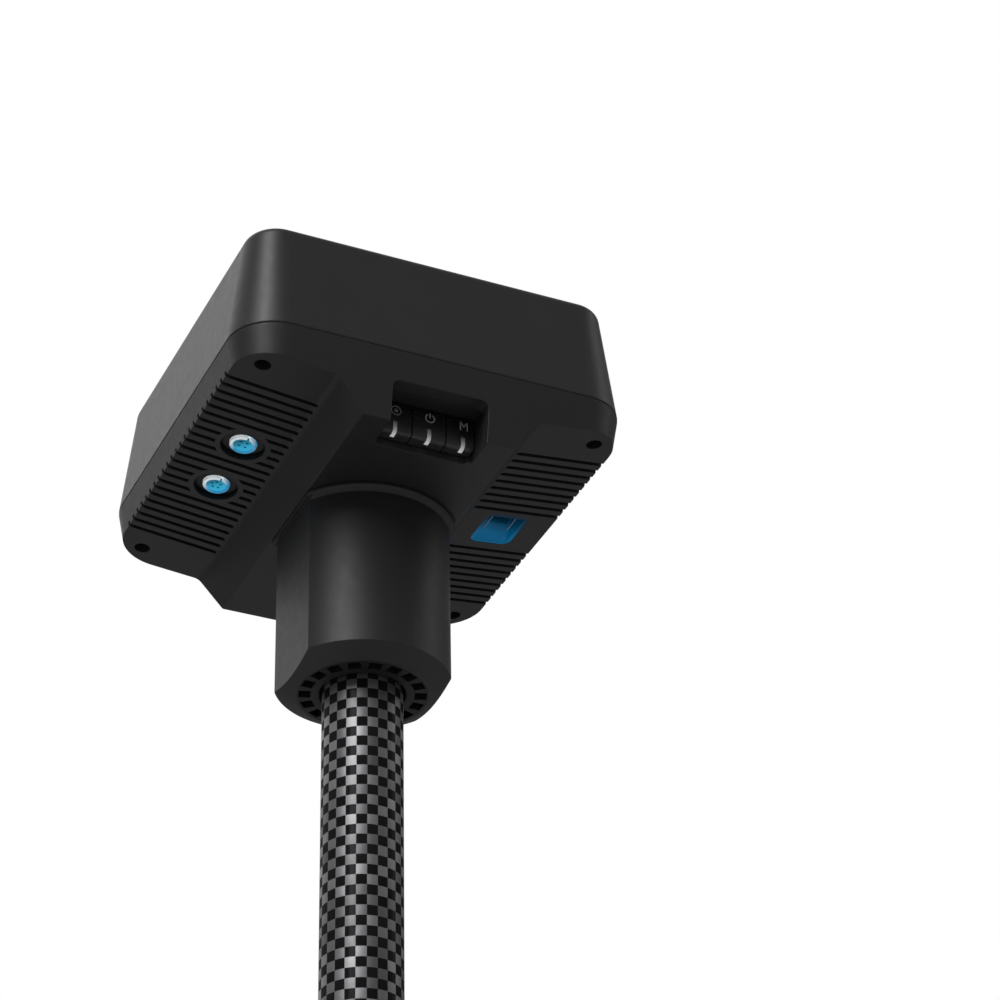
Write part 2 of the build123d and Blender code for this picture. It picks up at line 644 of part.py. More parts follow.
def make_keys():
    frame = block(-21.5, 21.5, -68.2, -50.6, BRIDGE_Z + 3, WINDOW_TOP + 2.5)
    frame -= block(-WINDOW_HALF, WINDOW_HALF, -80, -52.9, BRIDGE_Z, WINDOW_TOP)
    save_head("key_frame", frame - [key_stem(index, 2.2, -2, 8) for index in range(3)])
    for index, name in enumerate(KEY_NAMES):
        save_head(f"{name}_key", key_cap(index))
        save_head(f"{name}_light_pipe", light_pipe(index))
    stems = [key_middle(index) * KEY_STEM_INSET for index in range(3)]
    switches = [block(x - 3, x + 3, -49.4, -47.6, KEY_STEM_Z - 3, KEY_STEM_Z + 3) for x in stems]
    save_head("key_switches", switches)
    save_head("key_board", block(-20, 20, -47.6, -46, BRIDGE_Z + 3, WINDOW_TOP + 2))


# --- Bracket ---

def make_sleeve():
    lip_low = SLEEVE_BOTTOM + 0.2
    lip_high = SLEEVE_BOTTOM + SLEEVE_LIP_H - 0.2
    bush = turned(
        (UPPER_TUBE_R, lip_low), (SLEEVE_LIP_R, lip_low), (SLEEVE_LIP_R, lip_high), (BUSH_R, lip_high),
        (BUSH_R, BUSH_TOP - 1.5), (BUSH_R - 1.5, BUSH_TOP), (UPPER_TUBE_R, BUSH_TOP)
    )
    groove = ring(BUSH_R + 1, BUSH_R - 0.8, SLEEVE_TOP + 0.3, SLEEVE_TOP + 1.5)
    save("sleeve_bush", bush - groove)
    save("sleeve_retaining_ring", ring(BUSH_R + 1.6, BUSH_R - 0.8, SLEEVE_TOP + 0.3, SLEEVE_TOP + 1.5))
    inner = BUSH_R + 0.1
    sleeve = turned(
        (SLEEVE_LIP_R + 0.3, SLEEVE_BOTTOM), (SLEEVE_R - 2.6, SLEEVE_BOTTOM), (SLEEVE_R, SLEEVE_BOTTOM + 2.6),
        (SLEEVE_R, SLEEVE_TOP - 1.5), (SLEEVE_R - 1.5, SLEEVE_TOP), (inner, SLEEVE_TOP),
        (inner, SLEEVE_BOTTOM + SLEEVE_LIP_H), (SLEEVE_LIP_R + 0.3, SLEEVE_BOTTOM + SLEEVE_LIP_H)
    )
    flat = block(RAIL_BACK_X, 40, -RAIL_HALF - 0.01, RAIL_HALF + 0.01, SLEEVE_BOTTOM - 5, SLEEVE_TOP + 5)
    screw_zs = (RAIL_BOTTOM + 25, RAIL_TOP - 25)
    holes = [Pos(0, 0, z) * along_x(rod(SCREW_R, 18.5, 30)) for z in screw_zs]
    save("bracket_sleeve", sleeve - flat - holes)
    rail = block(RAIL_BACK_X, RAIL_FRONT_X, -RAIL_HALF, RAIL_HALF, RAIL_BOTTOM, RAIL_TOP)
    rail -= block(RAIL_BACK_X - 5, SLEEVE_R + 0.6, -20, 20, RAIL_BOTTOM - 1, SLEEVE_BOTTOM)
    front = [e for e in rail.edges().filter_by(Axis.Z) if e.center().X > RAIL_FRONT_X - 0.1]
    rail = fillet(front, 2)
    rail -= block(SLOT_FLOOR_X, 40, -SLOT_HALF, SLOT_HALF, RAIL_BOTTOM + 6, RAIL_TOP + 5)
    rail -= block(SLOT_FLOOR_X, SLOT_LIP_X, -SLOT_WIDE_HALF, SLOT_WIDE_HALF, RAIL_BOTTOM + 6, RAIL_TOP + 5)
    wedge = make_face(Plane.XZ * Polyline(
        (RAIL_BACK_X + 1.5, RAIL_TOP + 1), (RAIL_FRONT_X + 1, RAIL_TOP + 1), (RAIL_FRONT_X + 1, RAIL_TOP - 7),
        close=True
    ))
    rail -= extrude(wedge, 20, both=True)
    seat = SLOT_FLOOR_X - 1.8
    sink = along_x(rod(SCREW_HEAD_R + 0.1, seat, 30) + rod(SCREW_R, 15, 30))
    save("bracket_rail", rail - [Pos(0, 0, z) * sink for z in screw_zs])
    rail_screw = rod(SCREW_HEAD_R, seat, SLOT_FLOOR_X - 0.2) + rod(SCREW_R, 18.6, seat)
    save("rail_screws", [Pos(0, 0, z) * along_x(rail_screw) for z in screw_zs])


def make_ball_joint():
    place = Pos(0, 0, ARM_Z)
    nut = block(SLOT_FLOOR_X + 0.15, SLOT_LIP_X - 0.15, -SLOT_WIDE_HALF + 0.2, SLOT_WIDE_HALF - 0.2, -8, 8)
    save("carriage_nut", place * (nut - along_x(rod(BALL_NECK_R - 0.9, 20, 40))))
    stud = rod(BALL_NECK_R - 0.9, SLOT_FLOOR_X + 0.4, RAIL_FRONT_X) + rod(BALL_NECK_R, RAIL_FRONT_X, BALL_X)
    cross_pin = Rot(90, 0, 0) * Cylinder(BALL_PIN_R, 2 * BALL_HOUSING_R - 2)
    stud += Pos(0, 0, BALL_X) * (Sphere(BALL_R) + cross_pin)
    save("ball_stud", place * along_x(stud))
    housing = Sphere(BALL_HOUSING_R) + cone_up(BALL_HOUSING_R * 0.8, 8.0, 6, 12)
    housing -= Sphere(BALL_R + RUN_GAP)
    housing -= Rot(90, 0, 0) * Cylinder(BALL_PIN_R + RUN_GAP, 40)
    angle = radians(BALL_MOUTH_ANGLE)
    housing -= Rot(180, 0, 0) * cone_up(0.01, 40 * sin(angle), 0, 40 * cos(angle))
    save("ball_housing", place * along_x(Pos(0, 0, BALL_X) * housing))


def make_arm():
    start = BALL_X + 18
    end = ARM_END_X - 0.3
    plates = []
    for side in (-1, 1):
        y0, y1 = sorted((side * 0.8, side * ARM_HALF_Y))
        plate = block(start, end - 4, y0, y1, -ARM_HALF_Z, ARM_HALF_Z)
        long_edges = [e for e in plate.edges().filter_by(Axis.X) if abs(e.center().Y) > 2]
        plates.append(fillet(long_edges, 2.4))
    hub = along_x(rod(8.6, end - 4, end))
    ear = block(LEVER_PIN_X - 4, LEVER_PIN_X + 3, 4.2, ARM_HALF_Y, ARM_HALF_Z - 3, ARM_HALF_Z + 6.4)
    ears = [ear, ear.mirror(Plane.XZ)]
    core = block(start, end - 4, -0.8, 0.8, -ARM_HALF_Z + 3, ARM_HALF_Z - 3)
    body = plates[0] + plates[1] + core + hub + ears
    pin_hole = Pos(LEVER_PIN_X, 0, LEVER_PIN_Z - ARM_Z) * Rot(90, 0, 0) * Cylinder(1.5, 30)
    spin_hole = along_x(rod(3.0, end - 6, end + 1))
    save("arm_body", Pos(0, 0, ARM_Z) * (body - pin_hole - spin_hole))
    pin_place = Pos(LEVER_PIN_X, 0, LEVER_PIN_Z) * Rot(90, 0, 0)
    save("lever_pin", pin_place * Cylinder(1.5, 2 * ARM_HALF_Y))
    bar_low = ARM_Z + ARM_HALF_Z + 0.6
    bar = block(66, LEVER_PIN_X + 2.4, -3.8, 3.8, bar_low, bar_low + 5.6)
    tab = block(65, 67.6, -3.8, 3.8, bar_low, bar_low + 18)
    lever = fillet((bar + tab).edges().filter_by(Axis.Y), 0.8)
    lever -= pin_place * Cylinder(1.5 + RUN_GAP, 30)
    save("clamp_lever", lever)


def make_cradle():
    rod_xs = [(CRADLE_LEFT + CRADLE_RIGHT) / 2 + s * ROD_OFFSET for s in (-1, 1)]
    plate_top = JAW_HIGH_BOTTOM - 0.4
    plate = block(CRADLE_LEFT, CRADLE_RIGHT, CRADLE_PLATE_Y, CRADLE_BACK_Y, CRADLE_BOTTOM, plate_top)
    jaw = block(CRADLE_LEFT, CRADLE_RIGHT, CRADLE_FRONT_Y, CRADLE_BACK_Y, CRADLE_BOTTOM, JAW_LOW_TOP)
    lip_back = CRADLE_FRONT_Y + JAW_LIP
    lip = block(CRADLE_LEFT, CRADLE_RIGHT, CRADLE_FRONT_Y, lip_back, CRADLE_BOTTOM, JAW_LOW_TOP + JAW_LIP)
    body = jaw + lip
    body = fillet(body.edges().filter_by(Axis.X).group_by(Axis.Z)[0], 5)
    body += plate & block(0, 200, -50, 50, CRADLE_BOTTOM + 8, 1500)
    spin_pin = Pos(0, 0, ARM_Z) * along_x(rod(3.0 - RUN_GAP, ARM_END_X - 5, CRADLE_LEFT + 1))
    for x in rod_xs:
        body -= Pos(x, 0, 0) * rod(ROD_BORE_R, CRADLE_BOTTOM + 4, SHOULDER_Z)
        body -= Pos(x, 0, 0) * rod(ROD_R + RUN_GAP, SHOULDER_Z - 1, 1500)
    save("cradle_body", body + spin_pin)
    left, right = CRADLE_LEFT + 2, CRADLE_RIGHT - 2
    front, back = lip_back + 1.5, CRADLE_PLATE_Y - 1.5
    low_pad = block(left, right, front, back, JAW_LOW_TOP, JAW_LOW_TOP + JAW_PAD)
    low, high = JAW_LOW_TOP + 5, JAW_HIGH_BOTTOM - 5
    back_pad = block(left + 2, right - 2, CRADLE_PLATE_Y - 1, CRADLE_PLATE_Y, low, high)
    save("cradle_pads", [low_pad, back_pad])
    save("jaw_pad", block(left, right, front, back, JAW_HIGH_BOTTOM - JAW_PAD, JAW_HIGH_BOTTOM))
    jaw = block(CRADLE_LEFT, CRADLE_RIGHT, CRADLE_FRONT_Y, CRADLE_BACK_Y, JAW_HIGH_BOTTOM, CRADLE_TOP)
    jaw += block(CRADLE_LEFT, CRADLE_RIGHT, CRADLE_FRONT_Y, lip_back, JAW_HIGH_BOTTOM - JAW_LIP, CRADLE_TOP)
    upper = fillet(jaw.edges().filter_by(Axis.X).group_by(Axis.Z)[-1], 5)
    upper -= [Pos(x, 0, 0) * rod(ROD_R, JAW_HIGH_BOTTOM - 1, CRADLE_TOP - 5) for x in rod_xs]
    save("sliding_jaw", upper)
    bar = rod(ROD_R, CRADLE_BOTTOM + 9, CRADLE_TOP - 5)
    bar += rod(ROD_HEAD_R, CRADLE_BOTTOM + 5, CRADLE_BOTTOM + 9)
    save("guide_rods", [Pos(x, 0, 0) * bar for x in rod_xs])
    turns = 9
    low, high = CRADLE_BOTTOM + 9.6, SHOULDER_Z - 0.6
    path = Pos(0, 0, low) * Helix((high - low) / turns, high - low, 3.6)
    wire = Plane(origin=path @ 0, z_dir=path % 0) * Circle(0.5)
    coil = sweep(wire, path, is_frenet=True)
    save("jaw_springs", [Pos(x, 0, 0) * coil for x in rod_xs])


os.makedirs("parts", exist_ok=True)
make_pole()
make_casing()
make_electronics()
make_data_sockets()
make_card_port()
make_keys()
make_sleeve()
make_ball_joint()
make_arm()
make_cradle()
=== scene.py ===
import math

import bpy
from mathutils import Matrix, Vector


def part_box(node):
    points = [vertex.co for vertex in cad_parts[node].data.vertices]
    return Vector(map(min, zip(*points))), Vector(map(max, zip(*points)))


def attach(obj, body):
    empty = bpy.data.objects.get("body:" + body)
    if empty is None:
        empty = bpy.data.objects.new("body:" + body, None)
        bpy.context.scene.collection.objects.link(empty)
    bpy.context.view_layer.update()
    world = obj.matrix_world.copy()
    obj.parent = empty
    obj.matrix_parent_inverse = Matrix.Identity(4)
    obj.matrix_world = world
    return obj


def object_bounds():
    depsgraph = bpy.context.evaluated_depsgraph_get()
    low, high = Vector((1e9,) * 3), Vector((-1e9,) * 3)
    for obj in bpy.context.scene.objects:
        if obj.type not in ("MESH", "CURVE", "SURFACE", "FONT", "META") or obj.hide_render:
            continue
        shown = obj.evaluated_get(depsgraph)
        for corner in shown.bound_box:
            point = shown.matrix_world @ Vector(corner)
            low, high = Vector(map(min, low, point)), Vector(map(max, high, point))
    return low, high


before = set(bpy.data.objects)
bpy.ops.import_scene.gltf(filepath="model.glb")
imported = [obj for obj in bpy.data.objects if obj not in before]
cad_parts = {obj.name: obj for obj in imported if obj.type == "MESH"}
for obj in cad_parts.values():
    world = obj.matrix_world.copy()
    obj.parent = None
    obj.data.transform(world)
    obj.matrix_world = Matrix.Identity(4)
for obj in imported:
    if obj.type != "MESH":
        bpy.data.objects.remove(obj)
CAD_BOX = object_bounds()

bl_info = {
    "name": "Survey receiver on a carbon pole",
    "version": (1, 0, 0),
    "blender": (4, 5, 0),
    "location": "3D View > Sidebar > Survey pole",
    "description": "Finishes a packed survey receiver: casing, pole, sockets, keys, bracket and stage",
    "category": "Object",
}

MM = 0.001
PAD_SLOPE = 0.11            # the underside pads drop towards the middle of the head
SOCKET_RING_R = 5 * MM
SOCKET_INSERT_R = 3.7 * MM
SOCKET_FLANGE_R = 5.1 * MM  # beyond it the socket's shell is its black flange
PIN_HOLE_SHADE_DEPTH = 0.5 * MM   # deeper than this the insert's holes are painted black, as painted shade
RAIL_SPREAD = 4.8 * MM      # from the card slot's middle to each rail
RAIL_SIZE = (0.35 * MM, 10.5 * MM, 0.6 * MM)
SIGN_SHIFT = 0.4 * MM       # from a light strip's middle to its sign's middle
SIGN_LIFT = 4.9 * MM        # from a light strip's top to its sign's middle
INK_FLATNESS = 0.25
FLOOR_SIZE = 12
FLOOR_DROP = 0.5 * MM
FLOOR_FADE = (0.8, 5.0)     # where the floor starts and ends its climb to white


# --- Places taken from the frame ---

def middle(node):
    low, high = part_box(node)
    return (low + high) / 2


HEAD = Vector((0, 0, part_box("base_casing")[1].z))
AIM = Vector((47.2 * MM, -20.1 * MM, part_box("top_cover")[0].z - 13.9 * MM))

# name, place, point it faces, width and height, watts
LIGHTS = [
    ("key_strip", HEAD + Vector((-1.33, -1.22, 1.35)), HEAD, (0.6, 1.4), 32),
    ("rim_panel", HEAD + Vector((-0.95, 1.9, 1.45)), HEAD, (2.4, 2.4), 11),
    ("right_strip", HEAD + Vector((1.75, -0.45, 1.2)), HEAD, (0.4, 1.2), 3),
    ("top_panel", Vector((0.5, 1.6, 3.6)), Vector((0, 0.2, 0)), (2.4, 2.4), 14),
]


# --- Sizes and colours that a user would change ---

class CasingProps(bpy.types.PropertyGroup):
    cover_colour: bpy.props.FloatVectorProperty(
        name="Cover colour", description="Charcoal of the drafted cover", subtype="COLOR",
        size=3, min=0, max=1, default=(0.0210, 0.0210, 0.0212))
    base_colour: bpy.props.FloatVectorProperty(
        name="Base colour", description="Charcoal of the ribbed base and the neck", subtype="COLOR",
        size=3, min=0, max=1, default=(0.0170, 0.0170, 0.0170))
    roughness: bpy.props.FloatProperty(
        name="Roughness", description="How matt the moulded plastic is", min=0, max=1, default=0.46)
    edge_radius: bpy.props.FloatProperty(
        name="Edge radius", description="Rounding of the moulded edges, seen in the shading only",
        unit="LENGTH", default=0.5 * MM, precision=5)


class PoleProps(bpy.types.PropertyGroup):
    weave_size: bpy.props.FloatProperty(
        name="Weave size", description="Width of one carbon tow as it shows on the tube",
        unit="LENGTH", default=3.9 * MM, precision=5)
    light_tow: bpy.props.FloatVectorProperty(
        name="Light tow", description="Carbon tow that runs round the tube and catches the light",
        subtype="COLOR", size=3, min=0, max=1, default=(0.32, 0.32, 0.33))
    dark_tow: bpy.props.FloatVectorProperty(
        name="Dark tow", description="Carbon tow that runs along the tube", subtype="COLOR",
        size=3, min=0, max=1, default=(0.006, 0.006, 0.0065))


class PortProps(bpy.types.PropertyGroup):
    ring_colour: bpy.props.FloatVectorProperty(
        name="Ring colour", description="Bright blue-white ring of the data sockets", subtype="COLOR",
        size=3, min=0, max=1, default=(0.04, 0.33, 0.62))
    insert_colour: bpy.props.FloatVectorProperty(
        name="Insert colour", description="Blue insulator inside the data sockets", subtype="COLOR",
        size=3, min=0, max=1, default=(0.03, 0.36, 0.56))
    card_colour: bpy.props.FloatVectorProperty(
        name="Card port colour", description="Blue moulding round the card slot", subtype="COLOR",
        size=3, min=0, max=1, default=(0.0, 0.095, 0.21))


class KeyProps(bpy.types.PropertyGroup):
    symbol_height: bpy.props.FloatProperty(
        name="Symbol height", description="Height of the printed signs above the light strips",
        unit="LENGTH", default=3.7 * MM, precision=5)
    symbol_line: bpy.props.FloatProperty(
        name="Symbol line", description="Width of the lines of the printed signs",
        unit="LENGTH", default=0.46 * MM, precision=6)
    symbol_colour: bpy.props.FloatVectorProperty(
        name="Symbol colour", description="Grey ink of the printed signs", subtype="COLOR",
        size=3, min=0, max=1, default=(0.42, 0.42, 0.42))
    strip_colour: bpy.props.FloatVectorProperty(
        name="Strip colour", description="Clear frosted light strips", subtype="COLOR",
        size=3, min=0, max=1, default=(0.80, 0.82, 0.82))


class StageProps(bpy.types.PropertyGroup):
    azimuth: bpy.props.FloatProperty(
        name="Azimuth", description="Camera's turn about the pole", subtype="ANGLE",
        default=math.radians(-24.91))
    elevation: bpy.props.FloatProperty(
        name="Elevation", description="Camera's height as an angle", subtype="ANGLE",
        default=math.radians(-33.42))
    roll: bpy.props.FloatProperty(
        name="Roll", description="Camera's roll", subtype="ANGLE", default=math.radians(-1.31))
    distance: bpy.props.FloatProperty(
        name="Distance", description="Camera's distance from the point it aims at", unit="LENGTH",
        default=1.253)
    lens: bpy.props.FloatProperty(
        name="Lens", description="Focal length in millimetres on a 36 mm sensor", default=120.03)
    ambient: bpy.props.FloatProperty(
        name="Ambient", description="Strength of the even light from all round", min=0, max=2, default=0.175)
    floor_lift: bpy.props.FloatProperty(
        name="Floor lift", description="Evens out the floor for the camera only", min=0, max=1, default=0.46)
    floor_colour: bpy.props.FloatVectorProperty(
        name="Floor colour", description="Plain pale floor", subtype="COLOR",
        size=3, min=0, max=1, default=(0.86, 0.86, 0.86))


# --- Node graphs ---

class Graph:
    """A material's node tree with short calls for adding and linking nodes."""

    def __init__(self, name):
        self.material = bpy.data.materials.new(name)
        self.material.use_nodes = True
        self.tree = self.material.node_tree
        self.shader = self.tree.nodes["Principled BSDF"]

    def node(self, kind, **settings):
        made = self.tree.nodes.new(kind)
        for key, value in settings.items():
            setattr(made, key, value)
        return made

    def link(self, source, target):
        self.tree.links.new(source, target)

    def put(self, value, socket):
        """A number, a colour or another node's output, given to a socket."""
        if isinstance(value, bpy.types.NodeSocket):
            self.link(value, socket)
        else:
            socket.default_value = value

    def place(self):
        return self.node("ShaderNodeTexCoord").outputs["Object"]

    def math(self, operation, a, b=0.0, clamp=False):
        made = self.node("ShaderNodeMath", operation=operation, use_clamp=clamp)
        self.put(a, made.inputs[0])
        self.put(b, made.inputs[1])
        return made.outputs[0]

    def noise(self, scale, detail=2.0, vector=None):
        made = self.node("ShaderNodeTexNoise")
        made.inputs["Scale"].default_value = scale
        made.inputs["Detail"].default_value = detail
        self.link(vector or self.place(), made.inputs["Vector"])
        return made.outputs["Fac"]

    def span(self, value, low, high, to_low, to_high):
        made = self.node("ShaderNodeMapRange")
        self.put(value, made.inputs["Value"])
        for socket, number in zip(("From Min", "From Max", "To Min", "To Max"), (low, high, to_low, to_high)):
            made.inputs[socket].default_value = number
        return made.outputs["Result"]

    def mix(self, factor, a, b):
        made = self.node("ShaderNodeMix", data_type="RGBA")
        self.put(factor, made.inputs["Factor"])
        self.put(a, made.inputs["A"])
        self.put(b, made.inputs["B"])
        return made.outputs["Result"]

    def stretch(self, scale):
        made = self.node("ShaderNodeMapping")
        self.link(self.place(), made.inputs["Vector"])
        made.inputs["Scale"].default_value = scale
        return made.outputs["Vector"]

    def bump(self, height, distance, strength=1.0, normal=None):
        made = self.node("ShaderNodeBump")
        made.inputs["Strength"].default_value = strength
        made.inputs["Distance"].default_value = distance
        self.link(height, made.inputs["Height"])
        if normal is not None:
            self.link(normal, made.inputs["Normal"])
        return made.outputs["Normal"]

    def rounded(self, radius):
        made = self.node("ShaderNodeBevel", samples=6)
        made.inputs["Radius"].default_value = radius
        return made.outputs["Normal"]

    def edge(self, radius):
        """One along the piece's edges and zero on its faces."""
        bevel = self.rounded(radius)
        geometry = self.node("ShaderNodeNewGeometry")
        dot = self.node("ShaderNodeVectorMath", operation="DOT_PRODUCT")
        self.link(bevel, dot.inputs[0])
        self.link(geometry.outputs["Normal"], dot.inputs[1])
        return self.span(dot.outputs["Value"], 0.985, 0.80, 0.0, 1.0)

    def axes(self):
        """The place's x, y and z."""
        split = self.node("ShaderNodeSeparateXYZ")
        self.link(self.place(), split.inputs["Vector"])
        return split.outputs["X"], split.outputs["Y"], split.outputs["Z"]

    def length(self, x, y):
        return self.math("SQRT", self.math("ADD", self.math("MULTIPLY", x, x), self.math("MULTIPLY", y, y)))

    def paint(self, body, glow=None):
        """The body colour, with a little light of its own if a glow is given."""
        self.link(body, self.shader.inputs["Base Color"])
        if glow is not None:
            self.link(body, self.shader.inputs["Emission Color"])
            self.put(glow, self.shader.inputs["Emission Strength"])

    def surface(self, scale, smooth, rough, grain_scale, grain, radius):
        """Uneven roughness, fine grain and softened edges."""
        self.link(self.span(self.noise(scale), 0.3, 0.7, smooth, rough), self.shader.inputs["Roughness"])
        fine = self.bump(self.noise(grain_scale), grain, 0.5, self.rounded(radius))
        self.link(fine, self.shader.inputs["Normal"])


def tint(colour, factor):
    return tuple(min(1.0, c * factor) for c in colour[:3]) + (1.0,)


def assign(material, *nodes):
    for name in nodes:
        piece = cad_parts[name]
        piece.data.materials.clear()
        piece.data.materials.append(material)


# --- Finishes ---

def moulded(name, colour, roughness, edge_radius=0.5 * MM, grain=0.02 * MM, wear=1.7):
    """Spark-eroded moulded plastic: fine grain, faint mottling and lighter, smoother edges."""
    g = Graph(name)
    mottle = g.span(g.noise(28.0, 4.0), 0.3, 0.7, 0.0, 1.0)
    body = g.mix(mottle, tint(colour, 0.94), tint(colour, 1.06))
    edge = g.edge(edge_radius)
    scuffed = g.math("MULTIPLY", edge, g.span(g.noise(160.0, 3.0), 0.35, 0.6, 0.35, 1.0))
    g.link(g.mix(scuffed, body, tint(colour, wear)), g.shader.inputs["Base Color"])
    smooth = g.span(g.noise(300.0, 3.0), 0.3, 0.7, roughness - 0.02, roughness + 0.03)
    g.link(g.math("SUBTRACT", smooth, g.math("MULTIPLY", edge, 0.08)), g.shader.inputs["Roughness"])
    g.link(g.bump(g.noise(2600.0, 2.0), grain, 0.55, g.rounded(edge_radius)), g.shader.inputs["Normal"])
    g.shader.inputs["Specular IOR Level"].default_value = 0.5
    return g.material


def carbon(name, props):
    """Plain-weave carbon under clear lacquer: tows along and round the tube, each with its own sheen."""
    g = Graph(name)
    tube_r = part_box("upper_tube")[1].x
    x, y, height = g.axes()
    angle = g.math("ARCTAN2", y, x)
    turns = round(2 * math.pi * tube_r / props.weave_size / 2) * 2
    across = g.math("MULTIPLY", angle, turns / (2 * math.pi))
    along = g.math("MULTIPLY", height, 1.0 / props.weave_size)
    column, row = g.math("FLOOR", across), g.math("FLOOR", along)
    checker = g.math("PINGPONG", g.math("ADD", column, row), 1.0)
    square = g.node("ShaderNodeCombineXYZ")
    g.link(column, square.inputs["X"])
    g.link(row, square.inputs["Y"])
    chance = g.node("ShaderNodeTexWhiteNoise", noise_dimensions="2D")
    g.link(square.outputs["Vector"], chance.inputs["Vector"])
    shade = g.span(chance.outputs["Value"], 0.0, 1.0, 0.55, 1.25)
    fibres = g.node("ShaderNodeCombineXYZ")
    g.link(g.math("MULTIPLY", across, 9.0), fibres.inputs["X"])
    g.link(g.math("MULTIPLY", along, 9.0), fibres.inputs["Y"])
    strand = g.noise(1.6, 2.0, fibres.outputs["Vector"])
    light = g.mix(strand, tint(props.light_tow, 0.62), tint(props.light_tow, 1.25))
    dark = g.mix(strand, tint(props.dark_tow, 0.7), tint(props.dark_tow, 1.6))
    tow = g.mix(checker, dark, light)
    varied = g.node("ShaderNodeVectorMath", operation="SCALE")
    g.link(tow, varied.inputs[0])
    g.link(shade, varied.inputs["Scale"])
    g.link(varied.outputs["Vector"], g.shader.inputs["Base Color"])
    fold_a = g.math("SINE", g.math("MULTIPLY", across, math.pi))
    fold_b = g.math("SINE", g.math("MULTIPLY", along, math.pi))
    crown = g.math("MULTIPLY", g.math("ABSOLUTE", fold_a), g.math("ABSOLUTE", fold_b))
    g.link(g.span(checker, 0.0, 1.0, 0.75, 0.54), g.shader.inputs["Roughness"])
    g.link(checker, g.shader.inputs["Metallic"])
    g.link(g.bump(crown, 0.12 * MM, 0.35), g.shader.inputs["Normal"])
    g.shader.inputs["Specular IOR Level"].default_value = 0.12
    g.shader.inputs["Coat Weight"].default_value = 0.05
    g.shader.inputs["Coat Roughness"].default_value = 0.12
    return g.material


def turned_metal(name, colour, roughness, lines=900.0, anodised=False):
    """Lathe-turned metal: fine rings along the axis, small marks and bright edges."""
    g = Graph(name)
    rings = g.noise(1.0, 3.0, g.stretch((40.0, 40.0, lines)))
    marks = g.noise(240.0, 4.0)
    shade = g.mix(rings, tint(colour, 0.82), tint(colour, 1.12))
    edge = g.edge(0.35 * MM)
    worn = (0.30, 0.30, 0.31, 1.0) if anodised else tint(colour, 1.25)
    g.link(g.mix(g.math("MULTIPLY", edge, 0.6), shade, worn), g.shader.inputs["Base Color"])
    g.link(g.span(marks, 0.3, 0.7, roughness - 0.06, roughness + 0.1), g.shader.inputs["Roughness"])
    g.link(g.bump(rings, 0.02 * MM, 0.5, g.rounded(0.3 * MM)), g.shader.inputs["Normal"])
    g.shader.inputs["Metallic"].default_value = 0.6 if anodised else 1.0
    return g.material


def soft_rubber(name, colour):
    g = Graph(name)
    dust = g.span(g.noise(60.0, 5.0), 0.45, 0.75, 0.0, 1.0)
    g.paint(g.mix(dust, tint(colour, 0.9), tint(colour, 1.7)))
    g.surface(300.0, 0.66, 0.85, 1500.0, 0.03 * MM, 0.3 * MM)
    return g.material


def socket_part(name, node, colours, outside, radius, roughness, glow, shade_depth=99 * MM):
    """Blue across each of the two sockets, from the first colour on one side (painted light: a painted
    highlight on the ring, painted shade on the insert) to the second, with a painted glow; plain black beyond
    the given radius, and painted black as shade deeper than the given depth.
    """
    g = Graph(name)
    low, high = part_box(node)
    half = (high.x - low.x) / 2
    centre_x = (low.x + high.x) / 2
    y_low, y_high = low.y + half, high.y - half
    x, y, z = g.axes()
    nearer = g.math("GREATER_THAN", y, (y_low + y_high) / 2)
    centre_y = g.span(nearer, 0.0, 1.0, y_low, y_high)
    dx = g.math("SUBTRACT", x, centre_x)
    dy = g.math("SUBTRACT", y, centre_y)
    distance = g.length(dx, dy)
    # Painted light: the first colour lies across one side of each socket, a painted highlight on the ring and
    # painted shade on the insert.
    slant = g.math("ADD", g.math("MULTIPLY", dx, 0.7), g.math("MULTIPLY", dy, 0.7))
    across = g.span(slant, -0.7 * radius, 0.2 * radius, 0.0, 1.0)
    cloud = g.span(g.noise(260.0, 3.0), 0.3, 0.7, -0.12, 0.12)
    body = g.mix(g.math("ADD", across, cloud, clamp=True), tint(colours[0], 1.0), tint(colours[1], 1.0))
    face = g.math("SUBTRACT", low.z + PAD_SLOPE * half, g.math("MULTIPLY", dx, PAD_SLOPE))
    # Painted shade: deeper than the given depth the holes are painted black.
    painted_recess_shade = g.math("GREATER_THAN", g.math("SUBTRACT", z, face), shade_depth)
    beyond = g.math("MAXIMUM", g.math("GREATER_THAN", distance, outside), painted_recess_shade)
    body = g.mix(beyond, body, (0.006, 0.006, 0.006, 1.0))
    # Painted glow: the blue gives light of its own, though the sockets are no lamps.
    g.paint(body, g.math("MULTIPLY", g.math("SUBTRACT", 1.0, beyond), glow))
    g.shader.inputs["Specular IOR Level"].default_value = 0.25
    g.surface(700.0, roughness - 0.05, roughness + 0.08, 1800.0, 0.01 * MM, 0.25 * MM)
    assign(g.material, node)


def graded(name, node, low_colour, high_colour, roughness, glow, bend=1.0):
    """Glossy plastic that changes shade from the lower to the upper end of the given piece: painted light and
    shade for how light falls into the key recess, and any glow given is painted light.
    """
    g = Graph(name)
    low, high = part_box(node)
    climb = g.math("POWER", g.span(g.axes()[2], low.z, high.z, 0.0, 1.0), bend)
    cloud = g.span(g.noise(240.0, 3.0), 0.3, 0.7, -0.06, 0.06)
    body = g.mix(g.math("ADD", climb, cloud, clamp=True), tint(low_colour, 1.0), tint(high_colour, 1.0))
    g.paint(body, glow)
    g.surface(700.0, roughness - 0.04, roughness + 0.06, 1800.0, 0.008 * MM, 0.35 * MM)
    return g.material


